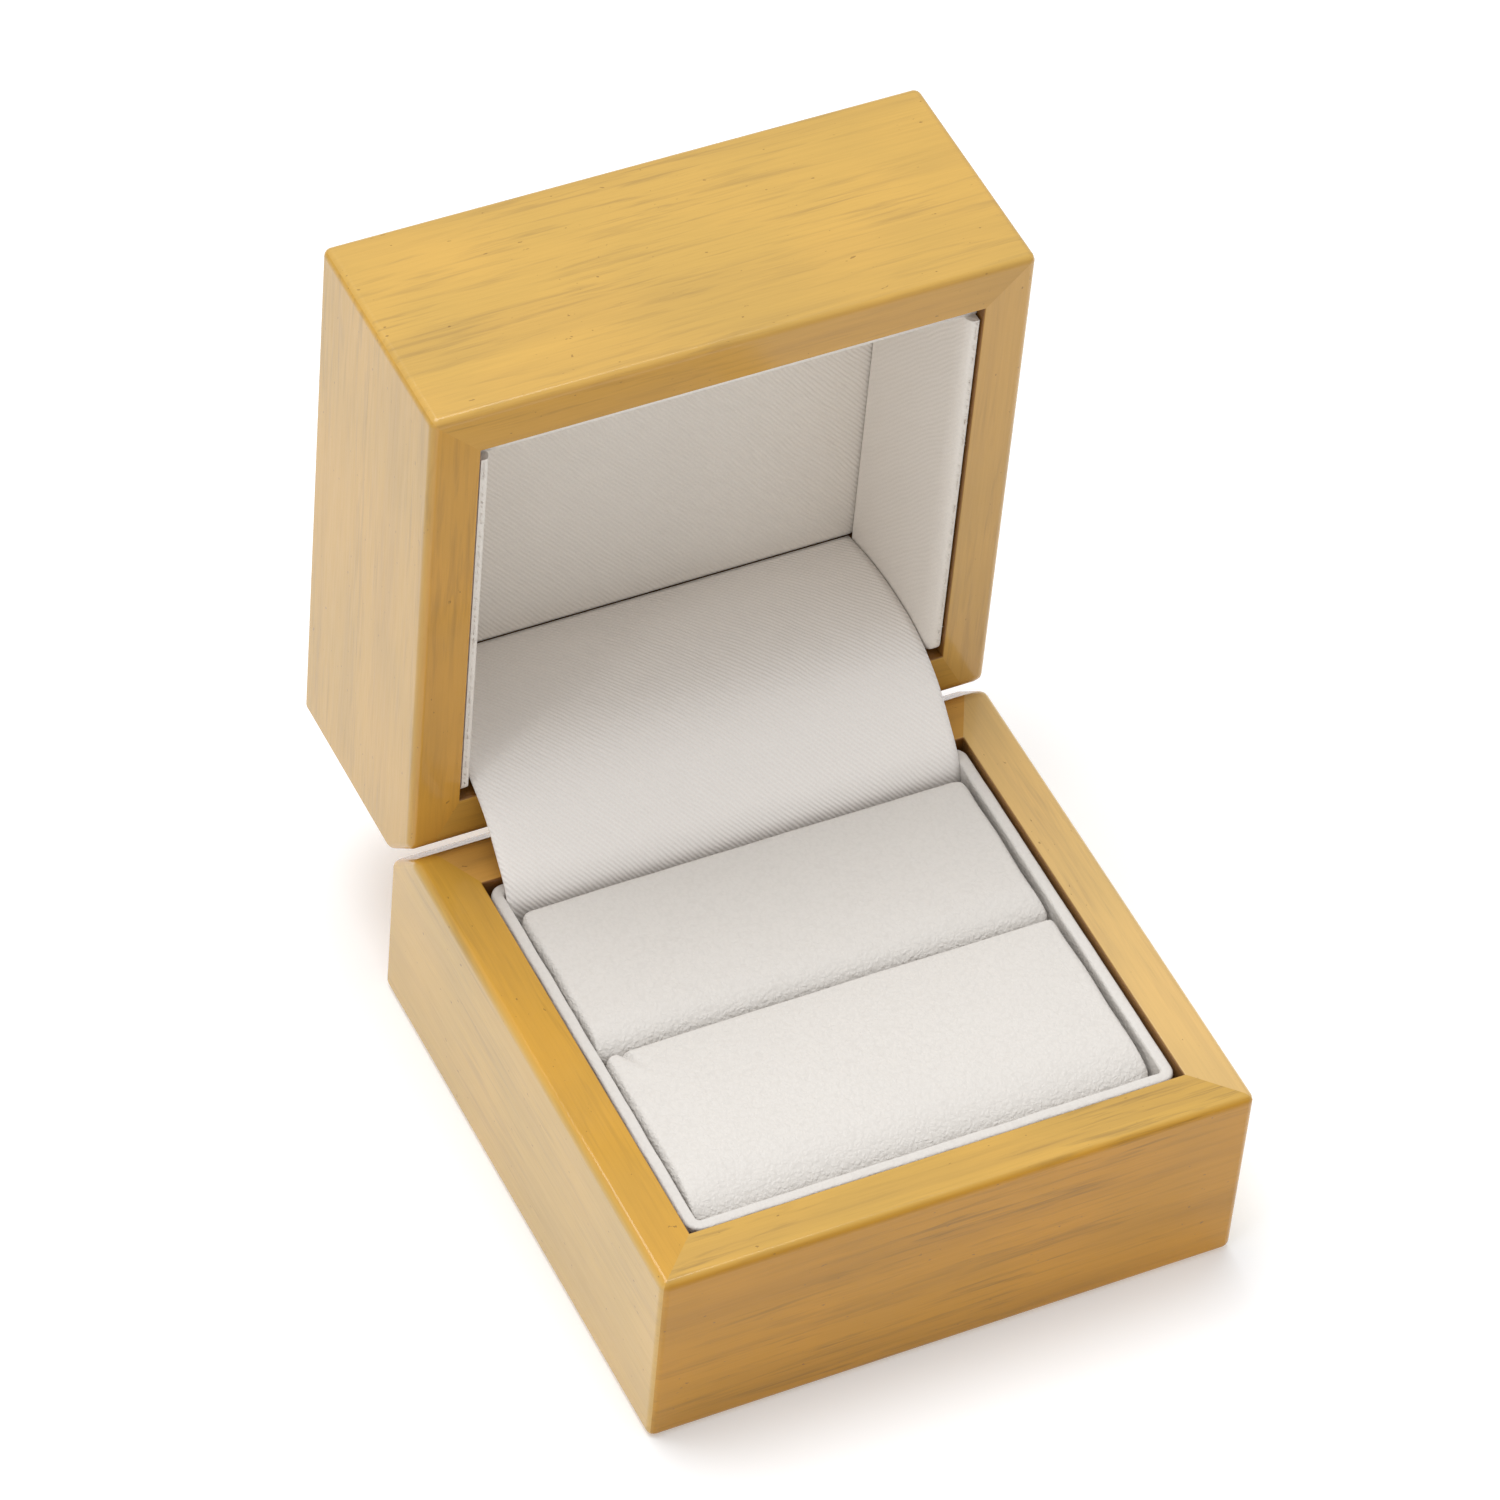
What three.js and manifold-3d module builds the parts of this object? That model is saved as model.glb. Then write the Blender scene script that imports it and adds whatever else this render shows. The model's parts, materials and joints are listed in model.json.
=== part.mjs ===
// Wooden ring box, standing open: a square hinged box with a padded insert for one ring.
// Millimetres, +Z up. The origin is the centre of the underside of the base.
// The front faces -Y and the hinge side faces +Y.
// Every piece is made where it lies in the closed box. The lid's group is then swung open.
import * as THREE from 'three';
import { mergeVertices } from 'three/addons/utils/BufferGeometryUtils.js';
import Module from 'manifold-3d';

const wasm = await Module();
wasm.setup();

// ---- driving dimensions ----
const HALF = 65 / 2;           // half the width and half the depth
const BASE_HEIGHT = 23.4;
const LID_HEIGHT = 26.8;
const WALL = 5.4;              // front and side walls, base and lid alike
const REAR_WALL = 10.3;        // the hinge side is thicker, because its outer edge is bevelled
const BEVEL = 4.95;            // 45 degree bevels on the hinge side; they meet and stop the open lid
const GLUE_LINE = 0.1;
const PANEL = 3;               // the panels' edges, held in rebates in the walls
const REBATE = 2.4;            // how far a panel reaches into the walls around it
const OPEN_ANGLE = Math.PI / 2;

const AXIS_BEHIND_RIM = 0.75;  // the pin's axis behind the flat rim, which sets the bevels' gap when open
const HINGE_CENTRES = { left: -15, right: 15 };
const HINGE_LENGTH = 14;
const BARREL_R = 1.3;
const BORE_R = 0.72;
const PIN_R = 0.62;
const LEAF = 0.8;              // leaf thickness
const LEAF_WIDTH = 5;          // from the pin's axis to the leaf's free edge
const FIT = 0.15;              // clearance round the hinge pieces

const SCREW_SPACING = 8;
const SCREW_TO_AXIS = 3.1;
const SCREW_R = 0.55;
const SCREW_LENGTH = 6;
const HEAD_R = 1.05;
const HEAD_HEIGHT = 0.5;
const SLOT_WIDTH = 0.3;        // screwdriver slot
const SCREW_SIDES = 12;

const TRAY_GAP = 0.3;          // between the tray and the wood
const TRAY_WALL = 1.3;
const TRAY_BELOW_RIM = 0.55;
const PAD_GAP = 0.25;
const PAD_BELOW_RIM = 0.4;
const PAD_SHOULDER = 2.4;      // how far the crowned top falls towards its front and rear edges
const COVER = 0.9;             // leatherette over the foam
const RING_SLOT_Y = -2.5;      // the slot that grips the ring, between the two pads
const RING_SLOT = 0.3;
const REAR_PAD_END = 18.2;

const LINING = 1.3;            // cloth-covered card on the lid's walls
const TOP_LINING = 2.4;        // padded card inside the lid's top
const LINING_GAP = 0.2;
const LINING_CORNER = 1.8;     // round corner of the side linings beside the hinge
const LINING_SET_BACK = 0.4;   // side linings, from the rim
const FRONT_SET_BACK = 0.9;    // front lining, from the rim
const FLAP = 0.5;              // cloth flap over the hinge
const FLAP_HALF_WIDTH = 25.2;

// ---- places worked out from them ----
const INNER = HALF - WALL;                 // inner face of the front and side walls
const REAR_INNER = HALF - REAR_WALL;       // inner face of the rear walls
const HINGE_Y = HALF - BEVEL + AXIS_BEHIND_RIM;
const HINGE_Z = BASE_HEIGHT;
const LID_TOP = BASE_HEIGHT + LID_HEIGHT;
const PANEL_HALF = INNER + REBATE;
const PANEL_REAR = REAR_INNER + REBATE;

// ---- materials ----
const finish = (color, roughness, metalness = 0) =>
  new THREE.MeshStandardMaterial({ color, roughness, metalness });
const wood = finish(0xd8ae6c, 0.3);
const plywood = finish(0xc99f66, 0.5);
const leatherette = finish(0xf1efec, 0.5);
const foam = finish(0xe9e2cf, 0.95);
const cloth = finish(0xd9dade, 0.6);
const brass = finish(0xc7a24c, 0.35, 1);
const steel = finish(0xb9bcc0, 0.35, 1);

// ---- solids ----
// A closed geometry as a solid, without the empty triangles at a lathe's poles.
function solid(geometry) {
  const bare = geometry.clone();
  bare.deleteAttribute('normal');
  bare.deleteAttribute('uv');
  const merged = mergeVertices(bare, 1e-5);
  const corners = merged.index.array;
  const kept = [];
  for (let i = 0; i < corners.length; i += 3) {
    const [a, b, c] = corners.slice(i, i + 3);
    if (a !== b && b !== c && c !== a) kept.push(a, b, c);
  }
  return new wasm.Manifold(new wasm.Mesh({
    numProp: 3,
    vertProperties: new Float32Array(merged.attributes.position.array),
    triVerts: new Uint32Array(kept),
  }));
}

function geometryOf(body) {
  const mesh = body.getMesh();
  const geometry = new THREE.BufferGeometry();
  geometry.setAttribute('position', new THREE.BufferAttribute(new Float32Array(mesh.vertProperties), 3));
  geometry.setIndex(new THREE.BufferAttribute(new Uint32Array(mesh.triVerts), 1));
  return geometry;
}

function box(x0, x1, y0, y1, z0, z1) {
  const geometry = new THREE.BoxGeometry(x1 - x0, y1 - y0, z1 - z0);
  return solid(geometry.translate((x0 + x1) / 2, (y0 + y1) / 2, (z0 + z1) / 2));
}

// A cylinder on the hinge's axis, from x0 to x1.
function axisRod(radius, x0, x1) {
  const geometry = new THREE.CylinderGeometry(radius, radius, x1 - x0, 24);
  return solid(geometry.rotateZ(Math.PI / 2).translate((x0 + x1) / 2, HINGE_Y, HINGE_Z));
}

// A plan outline, extruded up from z0 to z1.
function plan(points, z0, z1) {
  const shape = new THREE.Shape(points.map(([x, y]) => new THREE.Vector2(x, y)));
  const geometry = new THREE.ExtrudeGeometry(shape, { depth: z1 - z0, bevelEnabled: false });
  return solid(geometry.translate(0, 0, z0));
}

// A side view, drawn in the box's Y and Z, extruded along X from x0 to x1.
function sideView(shape, x0, x1) {
  const options = { depth: x1 - x0, bevelEnabled: false, curveSegments: 10 };
  const geometry = new THREE.ExtrudeGeometry(shape, options).translate(0, 0, x0);
  const xyzFromZxy = new THREE.Matrix4().set(0, 0, 1, 0, 1, 0, 0, 0, 0, 1, 0, 0, 0, 0, 0, 1);
  return solid(geometry.applyMatrix4(xyzFromZxy));
}

// A pointed turned shape along Z, from [radius, height] pairs listed upwards.
function turned(profile) {
  const points = profile.map(([r, z]) => new THREE.Vector2(r, z));
  return solid(new THREE.LatheGeometry(points, SCREW_SIDES).rotateX(Math.PI / 2));
}

const cutAll = (body, cuts) => cuts.reduce((rest, cut) => rest.subtract(cut), body);

// The same piece on the other side of the parting plane.
const flipped = (body) => body.translate([0, 0, -HINGE_Z]).mirror([0, 0, 1]).translate([0, 0, HINGE_Z]);

// ---- the wooden walls ----
// Plan outlines with mitred corners. The rear wall is thicker, so its mitres run at a steeper angle,
// from the inner corners to the outer ones.
const outlines = {
  front: [
    [-HALF + GLUE_LINE, -HALF], [HALF - GLUE_LINE, -HALF],
    [INNER - GLUE_LINE, -INNER], [-INNER + GLUE_LINE, -INNER],
  ],
  left: [[-HALF, -HALF], [-INNER, -INNER], [-INNER, REAR_INNER], [-HALF, HALF]],
  right: [[HALF, -HALF], [HALF, HALF], [INNER, REAR_INNER], [INNER, -INNER]],
  rear: [
    [HALF - GLUE_LINE, HALF], [-HALF + GLUE_LINE, HALF],
    [-INNER + GLUE_LINE, REAR_INNER], [INNER - GLUE_LINE, REAR_INNER],
  ],
};

// The wedge cut off the base's outer edge on the hinge side.
function bevelCut() {
  const over = 1;
  const shape = new THREE.Shape([
    new THREE.Vector2(HALF - BEVEL - over, HINGE_Z + over),
    new THREE.Vector2(HALF + over, HINGE_Z - BEVEL - over),
    new THREE.Vector2(HALF + over, HINGE_Z + over),
  ]);
  return sideView(shape, -HALF - over, HALF + over);
}

const screwPlaces = (centre) => [centre - SCREW_SPACING / 2, centre + SCREW_SPACING / 2];

// The recesses and pilot holes for the hinges in the base's rear wall.
function hingeRoom() {
  const cuts = [];
  for (const centre of Object.values(HINGE_CENTRES)) {
    const x0 = centre - HINGE_LENGTH / 2 - FIT;
    const x1 = centre + HINGE_LENGTH / 2 + FIT;
    const free = HINGE_Y - LEAF_WIDTH - FIT;
    cuts.push(box(x0, x1, free, HINGE_Y, HINGE_Z - LEAF - 2 * FIT, HINGE_Z + FIT));
    cuts.push(axisRod(BARREL_R + 2 * FIT, x0, x1));
    for (const x of screwPlaces(centre)) {
      const r = SCREW_R + FIT;
      const hole = turned([[0, -SCREW_LENGTH - 1], [r, -SCREW_LENGTH - 1], [r, 0], [0, 0]]);
      cuts.push(hole.translate([x, HINGE_Y - SCREW_TO_AXIS, HINGE_Z]));
    }
  }
  return cuts;
}

// A wall of the base, or of the lid when inLid is true.
function wall(name, inLid) {
  const [z0, z1] = inLid ? [BASE_HEIGHT, LID_TOP] : [0, BASE_HEIGHT];
  const rebate = inLid ? [LID_TOP - PANEL - GLUE_LINE, LID_TOP + 1] : [-1, PANEL + GLUE_LINE];
  const sided = (cut) => (inLid ? flipped(cut) : cut);
  const cuts = [box(-PANEL_HALF, PANEL_HALF, -PANEL_HALF, PANEL_REAR, ...rebate)];
  if (name !== 'front') cuts.push(sided(bevelCut()));
  if (name === 'rear') cuts.push(...hingeRoom().map(sided));
  return cutAll(plan(outlines[name], z0, z1), cuts);
}

function bottomPanel() {
  const half = PANEL_HALF - GLUE_LINE;
  return box(-half, half, -half, PANEL_REAR - GLUE_LINE, 0, PANEL);
}

// The lid's top is as thick as its walls, with a lip all round in the walls' rebates.
function topPanel() {
  const half = PANEL_HALF - GLUE_LINE;
  const inside = INNER - GLUE_LINE;
  const lip = box(-half, half, -half, PANEL_REAR - GLUE_LINE, LID_TOP - PANEL, LID_TOP);
  return lip.add(box(-inside, inside, -inside, REAR_INNER - GLUE_LINE, LID_TOP - WALL, LID_TOP - 1));
}

// ---- the hinges ----
// The base's leaf has the two outer knuckles and lies below the parting plane.
// The lid's leaf has the middle knuckle.
function hingeLeaf(centre, inLid) {
  const third = HINGE_LENGTH / 3;
  const x0 = centre - HINGE_LENGTH / 2;
  const own = inLid ? [1] : [0, 2];
  const others = inLid ? [0, 2] : [1];
  let body = box(x0, x0 + HINGE_LENGTH, HINGE_Y - LEAF_WIDTH, HINGE_Y, HINGE_Z - FIT - LEAF, HINGE_Z - FIT);
  for (const k of own) body = body.add(axisRod(BARREL_R, x0 + k * third, x0 + (k + 1) * third));
  for (const k of others) {
    body = body.subtract(axisRod(BARREL_R + FIT, x0 + k * third - FIT, x0 + (k + 1) * third + FIT));
  }
  body = body.subtract(axisRod(BORE_R, x0 - 1, x0 + HINGE_LENGTH + 1));
  for (const x of screwPlaces(centre)) {
    body = body.subtract(screwHole().translate([x, HINGE_Y - SCREW_TO_AXIS, HINGE_Z]));
  }
  return inLid ? flipped(body) : body;
}

function screwHole() {
  const play = 0.08;
  const r = SCREW_R + play;
  const headR = HEAD_R + play;
  const neck = -FIT - HEAD_HEIGHT - play;
  return turned([[0, -2], [r, -2], [r, neck], [headR, -FIT], [headR, 1], [0, 1]]);
}

// A countersunk wood screw in the base's leaf, its head just below the leaf's face.
function screw(x, inLid) {
  const face = -FIT - 0.03;
  const neck = face - HEAD_HEIGHT;
  const taper = neck - 1.5;
  const profile = [[0, -SCREW_LENGTH], [SCREW_R, taper], [SCREW_R, neck], [HEAD_R, face], [0, face]];
  const slot = box(-2, 2, -SLOT_WIDTH / 2, SLOT_WIDTH / 2, face - HEAD_HEIGHT / 2, 1);
  const body = turned(profile).subtract(slot).translate([x, HINGE_Y - SCREW_TO_AXIS, HINGE_Z]);
  return inLid ? flipped(body) : body;
}

const hingePin = (centre) => axisRod(PIN_R, centre - HINGE_LENGTH / 2, centre + HINGE_LENGTH / 2);

// ---- the insert in the base ----
const TRAY_HALF = INNER - TRAY_GAP;
const TRAY_REAR = REAR_INNER - TRAY_GAP;
const TRAY_FLOOR = PANEL + GLUE_LINE;
const PAD_FLOOR = TRAY_FLOOR + TRAY_WALL + GLUE_LINE;
const PAD_HALF = TRAY_HALF - TRAY_WALL - PAD_GAP;
const PADS = {
  front: [-PAD_HALF, RING_SLOT_Y - RING_SLOT / 2],
  rear: [RING_SLOT_Y + RING_SLOT / 2, REAR_PAD_END],
};

function tray() {
  const half = TRAY_HALF - TRAY_WALL;
  const rear = TRAY_REAR - TRAY_WALL;
  const outer = box(-TRAY_HALF, TRAY_HALF, -TRAY_HALF, TRAY_REAR, TRAY_FLOOR, BASE_HEIGHT - TRAY_BELOW_RIM);
  return outer.subtract(box(-half, half, -half, rear, TRAY_FLOOR + TRAY_WALL, BASE_HEIGHT));
}

// A pad in side view: flat underneath and crowned on top, everywhere inset from its cover's outside.
function pad([front, rear], floor, inset) {
  const top = BASE_HEIGHT - PAD_BELOW_RIM - inset;
  const reach = PAD_SHOULDER * 1.5;
  const y0 = front + inset;
  const y1 = rear - inset;
  const shape = new THREE.Shape();
  shape.moveTo(y0, floor);
  shape.lineTo(y1, floor);
  shape.lineTo(y1, top - PAD_SHOULDER);
  shape.quadraticCurveTo(y1, top, y1 - reach, top);
  shape.lineTo(y0 + reach, top);
  shape.quadraticCurveTo(y0, top, y0, top - PAD_SHOULDER);
  return sideView(shape, -PAD_HALF + inset, PAD_HALF - inset);
}

const padCover = (span) => pad(span, PAD_FLOOR, 0).subtract(pad(span, PAD_FLOOR - 1, COVER));
const padFoam = (span) => pad(span, PAD_FLOOR, COVER + GLUE_LINE);

// ---- the linings in the lid ----
const TOP_LINING_FACE = LID_TOP - WALL - GLUE_LINE - TOP_LINING;
const LINING_HALF = INNER - LINING_GAP;
const LINING_REAR = REAR_INNER - GLUE_LINE;
const LINING_RIM = BASE_HEIGHT + LINING_SET_BACK;
const LINING_TOP = TOP_LINING_FACE - LINING_GAP;

const topLining = () =>
  box(-LINING_HALF, LINING_HALF, -LINING_HALF, LINING_REAR, TOP_LINING_FACE, TOP_LINING_FACE + TOP_LINING);

const frontLining = () =>
  box(
    -LINING_HALF, LINING_HALF, -LINING_HALF, -LINING_HALF + LINING,
    BASE_HEIGHT + FRONT_SET_BACK, LINING_TOP,
  );

// A side lining, with a round corner where the rim meets the hinge side.
function sideLining(side) {
  const front = -LINING_HALF + LINING + LINING_GAP;
  const shape = new THREE.Shape();
  shape.moveTo(front, LINING_TOP);
  shape.lineTo(front, LINING_RIM);
  shape.lineTo(LINING_REAR - LINING_CORNER, LINING_RIM);
  const turn = [LINING_CORNER, -Math.PI / 2, 0, false];
  shape.absarc(LINING_REAR - LINING_CORNER, LINING_RIM + LINING_CORNER, ...turn);
  shape.lineTo(LINING_REAR, LINING_TOP);
  const face = side * LINING_HALF;
  const inside = side * (LINING_HALF - LINING);
  return sideView(shape, Math.min(face, inside), Math.max(face, inside));
}

// The cloth flap over the hinge, as it hangs with the lid open: from the edge of the top lining,
// over the lid's rear wall and the hinge, and down behind the rear pad. It is listed as y, z.
function flap() {
  const route = new THREE.SplineCurve([
    [46.7, 30.1], [42, 31.1], [36.8, 31.5], [31.2, 31], [26.2, 28.9],
    [22.6, 25.8], [20, 23.2], [19.2, 20], [19.3, 13],
  ].map(([y, z]) => new THREE.Vector2(y, z)));
  const steps = 28;
  const over = [];
  const under = [];
  for (let i = 0; i <= steps; i += 1) {
    const point = route.getPoint(i / steps);
    const along = route.getTangent(i / steps);
    const across = new THREE.Vector2(-along.y, along.x).multiplyScalar(FLAP / 2);
    over.push(point.clone().sub(across));
    under.unshift(point.clone().add(across));
  }
  return sideView(new THREE.Shape([...over, ...under]), -FLAP_HALF_WIDTH, FLAP_HALF_WIDTH);
}

// ---- assembly ----
const base = new THREE.Group();
base.name = 'base';
const lid = new THREE.Group();
lid.name = 'lid';
lid.position.set(0, HINGE_Y, HINGE_Z);
lid.rotation.x = -OPEN_ANGLE;

function place(group, name, body, material) {
  const local = body.translate([-group.position.x, -group.position.y, -group.position.z]);
  const mesh = new THREE.Mesh(geometryOf(local), material);
  mesh.name = name;
  group.add(mesh);
}

for (const name of ['front', 'rear', 'left', 'right']) {
  place(base, `base_${name}_wall`, wall(name, false), wood);
  place(lid, `lid_${name}_wall`, wall(name, true), wood);
}
place(base, 'base_bottom_panel', bottomPanel(), plywood);
place(lid, 'lid_top_panel', topPanel(), wood);

for (const [side, centre] of Object.entries(HINGE_CENTRES)) {
  place(base, `${side}_hinge_base_leaf`, hingeLeaf(centre, false), brass);
  place(lid, `${side}_hinge_lid_leaf`, hingeLeaf(centre, true), brass);
  place(base, `${side}_hinge_pin`, hingePin(centre), steel);
  for (const [i, x] of screwPlaces(centre).entries()) {
    place(base, `${side}_hinge_base_screw_${i + 1}`, screw(x, false), brass);
    place(lid, `${side}_hinge_lid_screw_${i + 1}`, screw(x, true), brass);
  }
}

place(base, 'insert_tray', tray(), leatherette);
for (const [name, span] of Object.entries(PADS)) {
  place(base, `${name}_pad_cover`, padCover(span), leatherette);
  place(base, `${name}_pad_foam`, padFoam(span), foam);
}

place(lid, 'lid_top_lining', topLining(), cloth);
place(lid, 'lid_front_lining', frontLining(), cloth);
place(lid, 'lid_left_lining', sideLining(-1), cloth);
place(lid, 'lid_right_lining', sideLining(1), cloth);
place(base, 'hinge_flap', flap(), cloth);

const ringBox = new THREE.Group();
ringBox.name = 'ring_box';
ringBox.add(base, lid);

export default ringBox;
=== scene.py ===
"""Wooden ring box, standing open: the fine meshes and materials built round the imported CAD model.

All lengths are metres in the model's own frame: +Z up, the front towards -Y and the hinge side towards +Y.
The walls are made where they lie in the closed box, and the lid's are then swung open about the hinge.
"""

import json
import math
import random

import bmesh
import bpy
from mathutils import Matrix, Vector, noise


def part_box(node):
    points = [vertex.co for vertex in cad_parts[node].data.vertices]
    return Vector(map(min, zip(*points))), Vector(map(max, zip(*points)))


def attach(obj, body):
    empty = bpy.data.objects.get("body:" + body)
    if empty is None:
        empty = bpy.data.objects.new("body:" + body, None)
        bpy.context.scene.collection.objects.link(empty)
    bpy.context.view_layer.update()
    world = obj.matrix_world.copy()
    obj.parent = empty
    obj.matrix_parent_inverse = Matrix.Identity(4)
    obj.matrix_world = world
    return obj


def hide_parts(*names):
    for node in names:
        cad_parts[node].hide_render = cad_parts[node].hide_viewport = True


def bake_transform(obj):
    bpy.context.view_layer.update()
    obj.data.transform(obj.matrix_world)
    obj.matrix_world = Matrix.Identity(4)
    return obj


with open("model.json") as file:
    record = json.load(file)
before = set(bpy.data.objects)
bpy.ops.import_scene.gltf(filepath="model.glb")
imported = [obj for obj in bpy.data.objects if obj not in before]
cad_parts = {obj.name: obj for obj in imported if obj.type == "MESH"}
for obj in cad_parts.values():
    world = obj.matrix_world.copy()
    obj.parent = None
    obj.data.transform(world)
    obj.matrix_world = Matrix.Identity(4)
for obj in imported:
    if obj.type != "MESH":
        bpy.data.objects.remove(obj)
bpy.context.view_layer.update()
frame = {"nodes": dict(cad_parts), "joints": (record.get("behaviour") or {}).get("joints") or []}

MM = 0.001
NEAR = 1e-6                    # metres within which two places count as the same
WELD = 1e-7                    # metres within which two points are joined

# ---- places taken from the frame ----
HINGE = Vector(frame["joints"][0]["pos_m"])
OPENED = Matrix.Translation(HINGE) @ Matrix.Rotation(math.radians(-90), 4, "X") @ Matrix.Translation(-HINGE)

BASE_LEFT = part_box("base_left_wall")
HALF = -BASE_LEFT[0].x
INNER = -BASE_LEFT[1].x
WALL = HALF - INNER
BASE_HEIGHT = BASE_LEFT[1].z
REAR_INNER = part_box("base_rear_wall")[0].y
LID_TOP = BASE_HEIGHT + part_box("lid_left_wall")[1].y - HINGE.y
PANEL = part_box("base_bottom_panel")[1].z
PANEL_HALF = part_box("base_bottom_panel")[1].x
PANEL_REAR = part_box("base_bottom_panel")[1].y
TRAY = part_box("insert_tray")

# ---- driving sizes of the looks ----
BEVEL = 4.95 * MM              # the 45 degree bevels on the hinge side
EDGE_ROUND = 0.9 * MM          # outer edges of the wood
RIM_EASE = 0.2 * MM            # inner edges of the rims
EDGE_ZONE = 0.1 * MM           # how close to the outside an edge lies to count as an outer one
CORNER_TURN = 25               # degrees, the least turn of an edge that is rounded
PANEL_GAP = 0.02 * MM          # between a panel and its rebate
HINGE_ROOM = 0.25 * MM         # round the hinges, in their recesses
LEAF_DEPTH = 0.85 * MM         # of a leaf and its play, below its screws' heads
TRAY_WALL = 1.3 * MM
TRAY_CORNER = 1.6 * MM
TRAY_EDGE = 0.38 * MM          # the turned-over edges of the tray's rim
LINING_CORNER = 1.8 * MM       # round corner of the side linings beside the hinge
FRONT_TAPER = 2.2 * MM         # how far in from the lid's rim the side linings' padding is drawn down
FRONT_DROP = 0.8 * MM          # and how far it is drawn down
CLOTH = 0.35 * MM              # thickness of the flap's cloth
TWILL_PITCH = 0.44             # in millimetres, as the cloth's UVs are
TWILL_ANGLE = 50               # degrees, of the ribs below the cloth's width


# ================= small helpers =================
def add_object(name, bm, material, smooth=True):
    """A new object from a bmesh, with its normals outward."""
    bmesh.ops.recalc_face_normals(bm, faces=bm.faces)
    mesh = bpy.data.meshes.new(name)
    bm.to_mesh(mesh)
    bm.free()
    obj = bpy.data.objects.new(name, mesh)
    bpy.context.scene.collection.objects.link(obj)
    obj.data.materials.append(material)
    if smooth:
        mesh.shade_smooth()
    return obj


def weight_normals(obj, angle=35):
    """Keeps flats flat beside their rounded edges."""
    obj.data.set_sharp_from_angle(angle=math.radians(angle))
    modifier = obj.modifiers.new("normals", "WEIGHTED_NORMAL")
    modifier.keep_sharp = True
    modifier.weight = 100


def apply_modifier(obj, modifier):
    """Gives the piece the mesh that its modifier makes, and takes the modifier away."""
    depsgraph = bpy.context.evaluated_depsgraph_get()
    mesh = bpy.data.meshes.new_from_object(obj.evaluated_get(depsgraph))
    obj.modifiers.remove(modifier)
    obj.data = mesh


def finish_piece(obj, body, slot, *nodes):
    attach(obj, body)
    if nodes:
        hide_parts(*nodes)
    return obj


def loft(bm, rings, cap_start=False, cap_end=False):
    """Quads between closed rings that have the same number of points."""
    rows = [[bm.verts.new(p) for p in ring] for ring in rings]
    for lower, upper in zip(rows, rows[1:]):
        for i in range(len(lower)):
            j = (i + 1) % len(lower)
            bm.faces.new((lower[i], lower[j], upper[j], upper[i]))
    if cap_start:
        bm.faces.new(list(reversed(rows[0])))
    if cap_end:
        bm.faces.new(rows[-1])
    return rows


def rounded_rectangle(x0, x1, y0, y1, radius, z, steps=6, straight=10):
    """Points of a rounded rectangle, anticlockwise, with points along its straight sides too."""
    points = []
    corners = [(x1, y0, -90), (x1, y1, 0), (x0, y1, 90), (x0, y0, 180)]
    arcs = []
    for x, y, start in corners:
        cx = x - math.copysign(radius, x - (x0 + x1) / 2)
        cy = y - math.copysign(radius, y - (y0 + y1) / 2)
        arc = []
        for k in range(steps + 1):
            a = math.radians(start + 90 * k / steps)
            arc.append(Vector((cx + radius * math.cos(a), cy + radius * math.sin(a), z)))
        arcs.append(arc)
    for here, after in zip(arcs, arcs[1:] + arcs[:1]):
        points.extend(here)
        for k in range(1, straight):
            points.append(here[-1].lerp(after[0], k / straight))
    return points


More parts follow.
